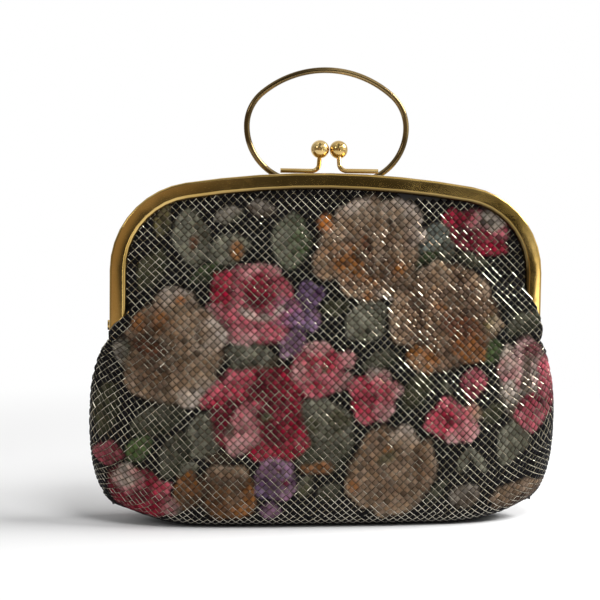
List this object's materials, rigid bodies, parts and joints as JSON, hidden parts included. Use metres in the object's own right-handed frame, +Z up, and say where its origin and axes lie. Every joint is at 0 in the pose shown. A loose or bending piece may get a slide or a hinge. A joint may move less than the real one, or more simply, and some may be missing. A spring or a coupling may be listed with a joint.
{
  "type": "metal mesh evening bag",
  "caption": "Evening bag of enamelled metal tile mesh with a floral print, on a hinged arched brass frame with a ball snap clasp and an oval wire handle that folds back.",
  "frame": {"origin": "on the floor, under the middle of the bag", "axes": "+Z up, +X to the right seen from the front, front towards -Y"},
  "size_m": [0.2068, 0.044, 0.1995],
  "materials": {
    "brass": "polished",
    "enamel_mesh": "gloss enamel",
    "satin_lining": "satin",
    "cord": "matte"
  },
  "bodies": {
    "rear": {"rear_frame": "brass", "left_hinge_rivet": "brass", "right_hinge_rivet": "brass", "rear_clasp_rod": "brass", "rear_clasp_ball": "brass", "left_handle_saddle": "brass", "right_handle_saddle": "brass", "mesh_pouch": "enamel_mesh", "pouch_lining": "satin_lining", "rear_retaining_cord": "cord"},
    "front": {"front_frame": "brass", "front_clasp_rod": "brass", "front_clasp_ball": "brass", "front_mesh": "enamel_mesh", "front_lining": "satin_lining", "front_retaining_cord": "cord"},
    "handle": {"handle_bail": "brass"}
  },
  "joints": [
    {"name": "frame_open", "type": "hinge", "parent": "rear", "child": "front", "pos_m": [0, 0, 0.086], "axis": [1, 0, 0], "range_deg": [0, 80], "deforming": ["front_mesh", "mesh_pouch", "front_lining", "pouch_lining"]},
    {"name": "handle_swing", "type": "hinge", "parent": "rear", "child": "handle", "pos_m": [0, 0.00886, 0.1492], "axis": [-1, 0, 0], "range_deg": [0, 140]}
  ]
}
